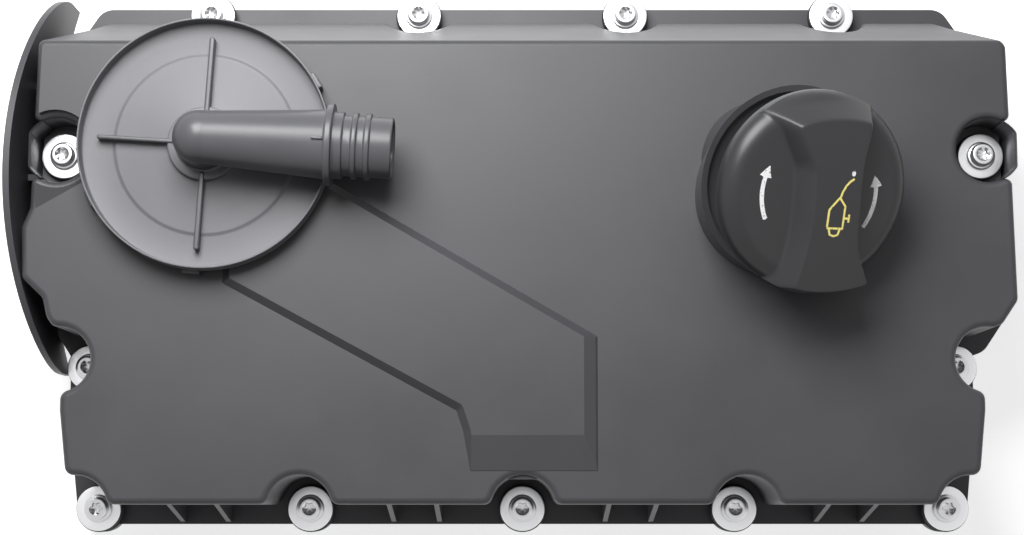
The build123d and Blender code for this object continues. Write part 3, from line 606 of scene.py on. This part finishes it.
# %% Ribs, snap tabs and the index mark
def rounded_box_loop(length, width, corner, shrink, per_corner=6):
    """The outline of a rounded rectangle, shrunk: four quarter circles joined by straight sides."""
    half_l, half_w = length / 2 - shrink, width / 2 - shrink
    corner = max(min(corner - shrink, half_l, half_w), 0.02)
    loop = []
    for sx, sy, start in [(1, 1, 0), (-1, 1, 90), (-1, -1, 180), (1, -1, 270)]:
        t = np.radians(np.linspace(start, start + 90, per_corner))
        x = sx * (half_l - corner) + corner * np.cos(t)
        y = sy * (half_w - corner) + corner * np.sin(t)
        loop.append(np.stack([x, y], axis=-1))
    return np.concatenate(loop)


def pad_grid(length, width, corner, low, high, edge, steps=5):
    """Loops from the foot up the side, over the rounded top edge, and in to the middle line."""
    levels = [(0.0, low), (0.0, high - edge)]
    levels += [
        (edge - edge * math.cos(t), high - edge + edge * math.sin(t))
        for t in np.linspace(0.3, math.pi / 2, steps)
    ]
    levels += [(min(length, width) / 2 - 0.03, high)]
    rows = [(0.0, low)] + levels
    grid = []
    for number, (shrink, z) in enumerate(rows):
        loop = rounded_box_loop(length, width, corner, shrink)
        if number == 0:
            loop = loop * 0.02
        grid.append(np.concatenate([loop, np.full((len(loop), 1), z)], axis=1))
    last = grid[-1].copy()
    middle = max(length - width, 0) / 2
    last[:, 1] = 0
    last[:, 0] = np.clip(last[:, 0], -middle, middle)
    return np.stack(grid + [last])


def place(grid, at, turn_deg=0.0):
    """A grid turned about the upright axis, then moved."""
    c, s = math.cos(math.radians(turn_deg)), math.sin(math.radians(turn_deg))
    turn = np.array([[c, s, 0], [-s, c, 0], [0, 0, 1]])
    return grid @ turn + np.array(at)


def lid_pad(name, length, width, corner, low, high, edge, at, turn_deg):
    """One raised pad of the lid, placed in the lid's plane."""
    grid = place(pad_grid(length, width, corner, low, high, edge), (at[0], at[1], 0), turn_deg)
    pad = piece_from_grid(name, on_lid(grid), "cover", outlet_nylon, sharp_deg=60)
    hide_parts("breather_lid")


RIB_L, RIB_W, SIDE_RIB_W, RIB_AT = 31.0, 2.1, 1.7, 27.0
RIB_LOW_Z, RIB_TOP_Z = 72.3, 77.1
TAB_L, TAB_W, TAB_LOW_Z, TAB_TOP_Z = 5.2, 7.0, 66.8, 72.4
TAB_AT, TAB_ANGLES = 48.95, (34.5, 208.5, 267.5)
MARK_L, MARK_W, MARK_LOW_Z, MARK_TOP_Z, MARK_AT = 4.4, 1.0, 102.0, 104.3, 46.9
for name, width, at, turn_deg in [
    ("lid_rib_rear", RIB_W, (LID_X, LID_Y + RIB_AT), 90),
    ("lid_rib_front", RIB_W, (LID_X, LID_Y - RIB_AT), 90),
    ("lid_rib_left", SIDE_RIB_W, (LID_X - RIB_AT, LID_Y), 0),
]:
    lid_pad(name, RIB_L, width, 0.8, RIB_LOW_Z, RIB_TOP_Z, 0.6, at, turn_deg)
for number, angle in enumerate(TAB_ANGLES, start=1):
    a = math.radians(angle)
    lid_pad(
        f"lid_tab_{number}", TAB_L, TAB_W, 0.6, TAB_LOW_Z, TAB_TOP_Z, 0.5,
        (LID_X + TAB_AT * math.cos(a), LID_Y + TAB_AT * math.sin(a)), angle,
    )
lid_pad(
    "outlet_index_mark", MARK_L, MARK_W, 0.4, MARK_LOW_Z, MARK_TOP_Z, 0.3, (LID_X + MARK_AT, LID_Y), 0
)
print("lid ribs 3, tabs", len(TAB_ANGLES), "index marks 1")

# %% [markdown]
# The wells of the two upper side screws break out through the roof's sides. A thin lip closes each
# one: a wall whose outer face is flat along the cover's side and turns in to meet the well's wall
# at both ends. Its section is a rounded upright strip, carried from one end to the other.

# %% Lips round the upper side wells
WELL_R, SIDE_FACE, LIP_T = 13.0, 11.3, 1.1
LIP_HALF_DEG, LIP_FOOT_Z, LIP_TOP_Z = 64, 30.0, 65.8
LIP_SHOULDER_Z = LIP_TOP_Z - 0.9


def well_lip(side, cols=49):
    """One lip at the upper screw of one side, -1 for the left or 1 for the right.

    Its outer radius is r(t) = min(face / cos t, well radius) for t between the two ends, and the
    inner one is the same with the face a wall's thickness further in. The section's points are
    (share of the way from the inner to the outer radius, height).
    """
    t = np.radians(np.linspace(-LIP_HALF_DEG, LIP_HALF_DEG, cols))
    outer = np.minimum(SIDE_FACE / np.cos(t), WELL_R + 0.15)
    inner = np.minimum((SIDE_FACE - LIP_T) / np.cos(t), WELL_R - 0.6)
    section = [
        (0.5, LIP_FOOT_Z), (1.0, LIP_FOOT_Z), (1.0, LIP_SHOULDER_Z), (0.85, 65.5), (0.5, LIP_TOP_Z),
        (0.15, 65.5), (0.0, LIP_SHOULDER_Z), (0.0, LIP_FOOT_Z), (0.5, LIP_FOOT_Z),
    ]
    rows = []
    for share, z in section:
        r = inner + share * (outer - inner)
        x = side * (UPPER_SIDE[0] + r * np.cos(t))
        y = UPPER_SIDE[1] + r * np.sin(t)
        rows.append(np.stack([x, y, np.full(cols, z)], axis=1))
    grid = np.stack(rows)
    ends = [grid.mean(axis=0, keepdims=True)[:, i] for i in (0, -1)]
    first = np.repeat(ends[0][None, :, :], len(rows), axis=0)
    last = np.repeat(ends[1][None, :, :], len(rows), axis=0)
    return np.concatenate([first, grid, last], axis=1)


for side, name in ((-1, "left"), (1, "right")):
    piece_from_grid(
        f"well_lip_{name}", well_lip(side), "cover", cover_nylon, wrap=False, sharp_deg=50
    )
print("well lips", 2)

# %% [markdown]
# The filler cap is a satin nylon knob on a leaning neck. Its top is a height worked out over a
# disc: a flat crown that rolls over at the rim, and a waisted grip standing on it. The grip's long
# sides are straight in the middle and flare towards both ends, the left one more at the rear and
# the right one more at the front. Soft maximum and soft ramp functions join the parts, and they
# leave the small radii that a moulding has.

# %% The neck's own axes
NECK_TOP = (104.5, 127.0, 83.3)
LEAN_RIGHT_DEG, LEAN_FRONT_DEG = 17.5, 20.5


def neck_axes():
    """Origin and the three axes of the neck, which leans to the right and to the front."""
    lean = np.array([math.tan(math.radians(LEAN_RIGHT_DEG)), -math.tan(math.radians(LEAN_FRONT_DEG)), 1.0])
    lean /= np.linalg.norm(lean)
    across = np.cross([0.0, 1.0, 0.0], lean)
    across /= np.linalg.norm(across)
    return np.array(NECK_TOP), across, np.cross(lean, across), lean


NECK, ACROSS, UPWARD, LEAN = neck_axes()


def on_neck(points):
    """Points given along the neck's axes, put in the frame."""
    return NECK + points[..., :1] * ACROSS + points[..., 1:2] * UPWARD + points[..., 2:] * LEAN


def soft_max(a, b, k):
    """The larger of two heights, with a fillet about k wide where they cross."""
    return 0.5 * (a + b + np.sqrt((a - b) ** 2 + k * k))


print("the neck leans along", LEAN.round(3).tolist())


# %% Filler cap knob
CAP_R, SKIRT_Z, CROWN_Z, SHOULDER = 38.5, 18.0, 26.0, 8.0
CAP_FOOT_R, CAP_FOOT_Z = 31.0, -0.3
GRIP_Z = 35.0
GRIP_TURN = math.radians(4)
GRIP_SHIFT = (2.2, -2.1)
GRIP_REAR, GRIP_FRONT, GRIP_LEFT, GRIP_RIGHT = 31.7, 34.4, 7.6, 11.0
STEEP, SHALLOW = math.tan(math.radians(16)), math.tan(math.radians(31))


def soft_ramp(t, k):
    """0 below zero, t above it, with a bend about k wide: k log(1 + exp(t / k))."""
    return k * np.logaddexp(0, t / k)


def grip_drop(x, y):
    """How far the grip's face is below its top at a point: the largest of four sides' drops.

    Each side's drop is the distance outside that side of the top, over the tangent of its draft.
    A long side's distance from the middle is its half width plus a share of how far the point is
    past the start of its flare at either end; the short sides bulge by a share of u squared.
    """
    c, s = math.cos(GRIP_TURN), math.sin(GRIP_TURN)
    x, y = x - GRIP_SHIFT[0], y - GRIP_SHIFT[1]
    u, v = c * x + s * y, c * y - s * x
    left = -u - (GRIP_LEFT + 0.5 * soft_ramp(v - 13, 1.2) + 0.28 * soft_ramp(-12 - v, 4))
    right = u - (GRIP_RIGHT + 0.22 * soft_ramp(v - 14, 3) + 0.42 * soft_ramp(-18 - v, 2))
    bulge = 2.0 * (u / 15) ** 2
    rear = v + bulge - GRIP_REAR
    front = -v + bulge - GRIP_FRONT
    sides = soft_max(left / SHALLOW, right / STEEP, 1.2)
    ends = soft_max(rear / SHALLOW, front / STEEP, 1.2)
    return soft_ramp(soft_max(sides, ends, 3.0), 0.35)


def knob_height(x, y):
    """Height of the knob's upper face: the crown and its rolled rim, and the grip."""
    r = np.hypot(x, y)
    roll = np.clip((r - (CAP_R - SHOULDER)) / SHOULDER, 0, 1)
    crown = SKIRT_Z + (CROWN_Z - SKIRT_Z) * np.sqrt(1 - roll ** 2)
    grip = GRIP_Z - grip_drop(x, y) - 0.0004 * y * y
    return soft_max(crown, grip, 0.9)


def knob_grid(cols=360):
    """Rings over the top, then the side profile down to the foot and in to the middle below.

    The outer rings are CAP_R sin t with even steps of t, so they crowd where the rim rolls over.
    """
    angle = np.linspace(0, 2 * math.pi, cols, endpoint=False)[None, :]
    rim = np.linspace(math.asin(31.4 / CAP_R), math.pi / 2, 28)
    ring = np.concatenate([np.linspace(0, 31, 82), CAP_R * np.sin(rim)])
    x, y = ring[:, None] * np.cos(angle), ring[:, None] * np.sin(angle)
    top = np.stack([x, y, knob_height(x, y)], axis=-1)
    side = rounded(
        [(CAP_R, SKIRT_Z - 0.5), (CAP_R, 17.0), (CAP_FOOT_R, 4.0), (CAP_FOOT_R, CAP_FOOT_Z), (0, CAP_FOOT_Z)],
        [0, 1.5, 1.5, 0.3, 0], 5,
    )
    below = np.stack(
        [side[:, :1] * np.cos(angle), side[:, :1] * np.sin(angle), side[:, 1:] + 0 * angle], axis=-1
    )
    return np.concatenate([top, below])


knob = piece_from_grid(
    "cap_knob_moulded", on_neck(knob_grid()), "filler_cap", cap_nylon, sharp_deg=75
)
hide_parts("cap_knob")
print("knob faces", len(knob.data.polygons))

# %% [markdown]
# The cap carries pad-printed marks: an oil can on the grip and two turning arrows on the crown.
# Ink is a film far thinner than a pixel, so each stroke here is a ribbon a tenth of a millimetre
# thick that follows the knob's height under it.

# %% Printed marks on the cap
INK_ABOVE, INK_BELOW, CAN_STROKE = 0.06, 0.04, 0.8
ARROW_R, SHAFT_W, HEAD_W, HEAD_SHARE = 23.5, 1.7, 5.2, 0.22


def printed_ink(name, hex_colour):
    """Pad-printed two-part ink: flat colour, slightly worn in specks a few tenths of a millimetre wide."""
    material, tree, shader, at = new_material(name)
    wear = add_node(
        tree, "ShaderNodeTexNoise", sockets={"Scale": 1 / (0.9 * MM), "Detail": 4}, links={"Vector": at}
    )
    ramp = add_node(tree, "ShaderNodeValToRGB", links={"Fac": wear.outputs["Fac"]})
    ramp.color_ramp.elements[0].position = 0.28
    ramp.color_ramp.elements[0].color = linear("#55544a")
    ramp.color_ramp.elements[1].position = 0.4
    ramp.color_ramp.elements[1].color = linear(hex_colour)
    tree.links.new(ramp.outputs["Color"], shader.inputs["Base Color"])
    shader.inputs["Roughness"].default_value = 0.45
    return material


yellow_ink = printed_ink("pad_printed_ink_yellow", "#fff08c")
white_ink = printed_ink("pad_printed_ink_white", "#ffffff")


def stroke_grid(path, width):
    """A ribbon along a path of (x, y) on the knob: left and right edges, above and below.

    The edges are the path moved half a width along its own normal; both ends close to a point. The
    ribbon stands INK_ABOVE over the knob's face and goes INK_BELOW under it.
    """
    path = np.asarray(path, float)
    width = np.broadcast_to(width, (len(path),))[:, None]
    along = np.gradient(path, axis=0)
    along /= np.linalg.norm(along, axis=1, keepdims=True)
    normal = np.stack([-along[:, 1], along[:, 0]], axis=1)
    left, right = path + normal * width / 2, path - normal * width / 2
    rows = []
    for edge, rise in ((left, INK_ABOVE), (right, INK_ABOVE), (right, -INK_BELOW), (left, -INK_BELOW)):
        height = knob_height(edge[:, 0], edge[:, 1]) + rise
        rows.append(np.concatenate([edge, height[:, None]], axis=1))
    grid = np.stack(rows)
    grid[:, 0] = grid[:, 0].mean(axis=0)
    grid[:, -1] = grid[:, -1].mean(axis=0)
    return on_neck(grid)


def dense(corners, step=0.25):
    """A path through the corners with points about step apart."""
    corners = np.asarray(corners, float)
    parts = []
    for a, b in zip(corners[:-1], corners[1:]):
        count = max(int(np.linalg.norm(b - a) / step), 2)
        parts.append(a + (b - a) * np.linspace(0, 1, count, endpoint=False)[:, None])
    return np.concatenate(parts + [corners[-1:]])


def printed(name, strokes, material):
    """Several strokes as one piece that rides on the cap."""
    points, faces, start = [], [], 0
    for path, width in strokes:
        grid = stroke_grid(path, width)
        rows, cols = grid.shape[:2]
        r, c = np.arange(rows)[:, None], np.arange(cols - 1)[None, :]
        r2 = (r + 1) % rows
        quad = np.stack([r * cols + c, r * cols + c + 1, r2 * cols + c + 1, r2 * cols + c], axis=-1)
        points.append(grid.reshape(-1, 3))
        faces.append(quad.reshape(-1, 4) + start)
        start += rows * cols
    piece_from_faces(
        name, np.concatenate(points), np.concatenate(faces), "filler_cap", material
    )


def can_point(u, v):
    """The can's own length and height, turned to run up the grip with its top to the right."""
    return (3.9 + 1.1 * v, -2.5 + u)


body = [(-9, -3), (-2, -3), (2.8, 0.4), (-0.4, 2.8), (-9, 2.8), (-9, -3.2)]
spout = [(2.8, 0.6), (5.2, 1.2), (7.4, 2.2), (9.2, 3.6), (10.2, 5.0)]
handle = [(-9, 1.9), (-11.4, 1.3), (-12, -0.2), (-11.4, -1.7), (-9, -2.3)]
filler = [(-5, 2.8), (-5, 4.6)]
filler_top = [(-6.7, 4.7), (-3.3, 4.7)]
runs = (body, spout, handle, filler, filler_top)
oil_can = [(dense([can_point(*p) for p in run]), CAN_STROKE) for run in runs]
printed("oil_can_mark", oil_can, yellow_ink)
drop_share = np.linspace(-1, 1, 24)
drop_path = np.array(can_point(12.2, 4.4)) + drop_share[:, None] * np.array([0.0, 1.0])
drop_width = 1.5 * np.sqrt(np.clip(1 - drop_share ** 2, 0.01, 1))
printed("oil_drop_mark", [(drop_path, drop_width)], white_ink)


def turning_arrow(start_deg, end_deg, radius):
    """An arc at a radius from the cap's axis: an even shaft, then a head that narrows to its point."""
    t = np.linspace(0, 1, 60)
    a = np.radians(start_deg + (end_deg - start_deg) * t)
    width = np.where(t < 1 - HEAD_SHARE, SHAFT_W, HEAD_W * (1 - t) / HEAD_SHARE + 0.05)
    return radius * np.stack([np.cos(a), np.sin(a)], axis=1), width


printed("turn_arrow_left", [turning_arrow(208, 156, ARROW_R)], white_ink)
printed("turn_arrow_right", [turning_arrow(-32, 20, ARROW_R)], white_ink)
print("printed marks", 4)

# %% [markdown]
# The floor is a plain pale sheet just under the screw tips. To the camera and to reflections it
# also glows, so it reads as white, and it still catches the part's own shadow.

# %% Floor
FLOOR_Z = cad_box[0][2]
FLOOR_HALF, FLOOR_GLOW = 1.5, 0.75


def shown_to_eye(tree):
    """1 for rays that the eye follows: from the camera, off a glossy surface or through a clear one."""
    path = add_node(tree, "ShaderNodeLightPath")
    direct = add_node(
        tree, "ShaderNodeMath",
        settings={"operation": "ADD"},
        links={0: path.outputs["Is Camera Ray"], 1: path.outputs["Is Glossy Ray"]},
    )
    every = add_node(
        tree, "ShaderNodeMath",
        settings={"operation": "ADD", "use_clamp": True},
        links={0: direct.outputs[0], 1: path.outputs["Is Transmission Ray"]},
    )
    return every.outputs[0]


def pale_floor():
    """A square sheet, 3 m on a side, which glows for the eye alone."""
    corners = [(FLOOR_HALF * x, FLOOR_HALF * y, FLOOR_Z) for x, y in ((-1, -1), (1, -1), (1, 1), (-1, 1))]
    mesh = bpy.data.meshes.new("floor")
    mesh.from_pydata(corners, [], [(0, 1, 2, 3)])
    floor = bpy.data.objects.new("floor", mesh)
    bpy.context.scene.collection.objects.link(floor)
    material, tree, shader, _ = new_material("white_paper_floor")
    shader.inputs["Base Color"].default_value = linear("#f2f2f2")
    shader.inputs["Roughness"].default_value = 0.9
    glow = add_node(
        tree, "ShaderNodeMath",
        settings={"operation": "MULTIPLY"},
        links={0: shown_to_eye(tree)},
    )
    glow.inputs[1].default_value = FLOOR_GLOW
    shader.inputs["Emission Color"].default_value = (1, 1, 1, 1)
    tree.links.new(glow.outputs[0], shader.inputs["Emission Strength"])
    mesh.materials.append(material)


pale_floor()
print("floor at height", round(FLOOR_Z, 4))

# %% [markdown]
# The camera looks down at the roof, leaning a little to the rear, from under a metre away. Its
# lens is long enough that the wells' walls show only near the edges.

# %% Camera
FRAME_W = 1024
FOCAL_PX = 2050.0
VIEW = Vector((0.0, 0.1167, -0.9932)).normalized()
UP = Vector((0.0, 0.9932, 0.1167)).normalized()
EYE = Vector((-4.3, 0.0, 873.0)) * MM


def look(eye, view, up, focal_px):
    """A camera from its eye point, view direction, up direction and focal length in pixels."""
    data = bpy.data.cameras.new("camera")
    data.sensor_width = 36.0
    data.lens = focal_px / FRAME_W * data.sensor_width
    data.clip_end = 20.0
    camera = bpy.data.objects.new("camera", data)
    side = view.cross(up).normalized()
    turn = Matrix((side, side.cross(view), -view)).transposed()
    camera.matrix_world = Matrix.Translation(eye) @ turn.to_4x4()
    bpy.context.scene.collection.objects.link(camera)
    bpy.context.scene.camera = camera


look(EYE, VIEW, UP, FOCAL_PX)
print("lens in mm", round(bpy.context.scene.camera.data.lens, 1))

# %% [markdown]
# Light comes from a soft box above the rear edge, a little to the left, with a wider and weaker
# one from the right front. The world is white to camera, glossy and transmitted rays, and dim to
# all others.

# %% Light
def soft_box(name, place, target, size, power):
    """A square lamp at place, facing target."""
    lamp = bpy.data.lights.new(name, "AREA")
    lamp.size = size
    lamp.energy = power
    obj = bpy.data.objects.new(name, lamp)
    obj.location = place
    obj.rotation_euler = (Vector(target) - Vector(place)).to_track_quat("-Z", "Y").to_euler()
    bpy.context.scene.collection.objects.link(obj)


soft_box("key_box", place=(-0.12, 0.39, 0.52), target=(-0.02, 0.17, 0), size=0.34, power=5.7)
soft_box("fill_box", place=(0.9, -0.5, 0.9), target=(0, 0.1, 0), size=0.7, power=0.5)


def studio_world():
    """White to the camera and to reflections, and a dim lamp from all round."""
    world = bpy.data.worlds.new("studio")
    bpy.context.scene.world = world
    world.use_nodes = True
    tree = world.node_tree
    background = tree.nodes["Background"]
    background.inputs["Color"].default_value = (1, 1, 1, 1)
    seen = add_node(
        tree, "ShaderNodeMapRange",
        sockets={"To Min": 0.05, "To Max": 1.0},
        links={"Value": shown_to_eye(tree)},
    )
    tree.links.new(seen.outputs["Result"], background.inputs["Strength"])


studio_world()
bpy.context.scene.view_settings.view_transform = "Standard"
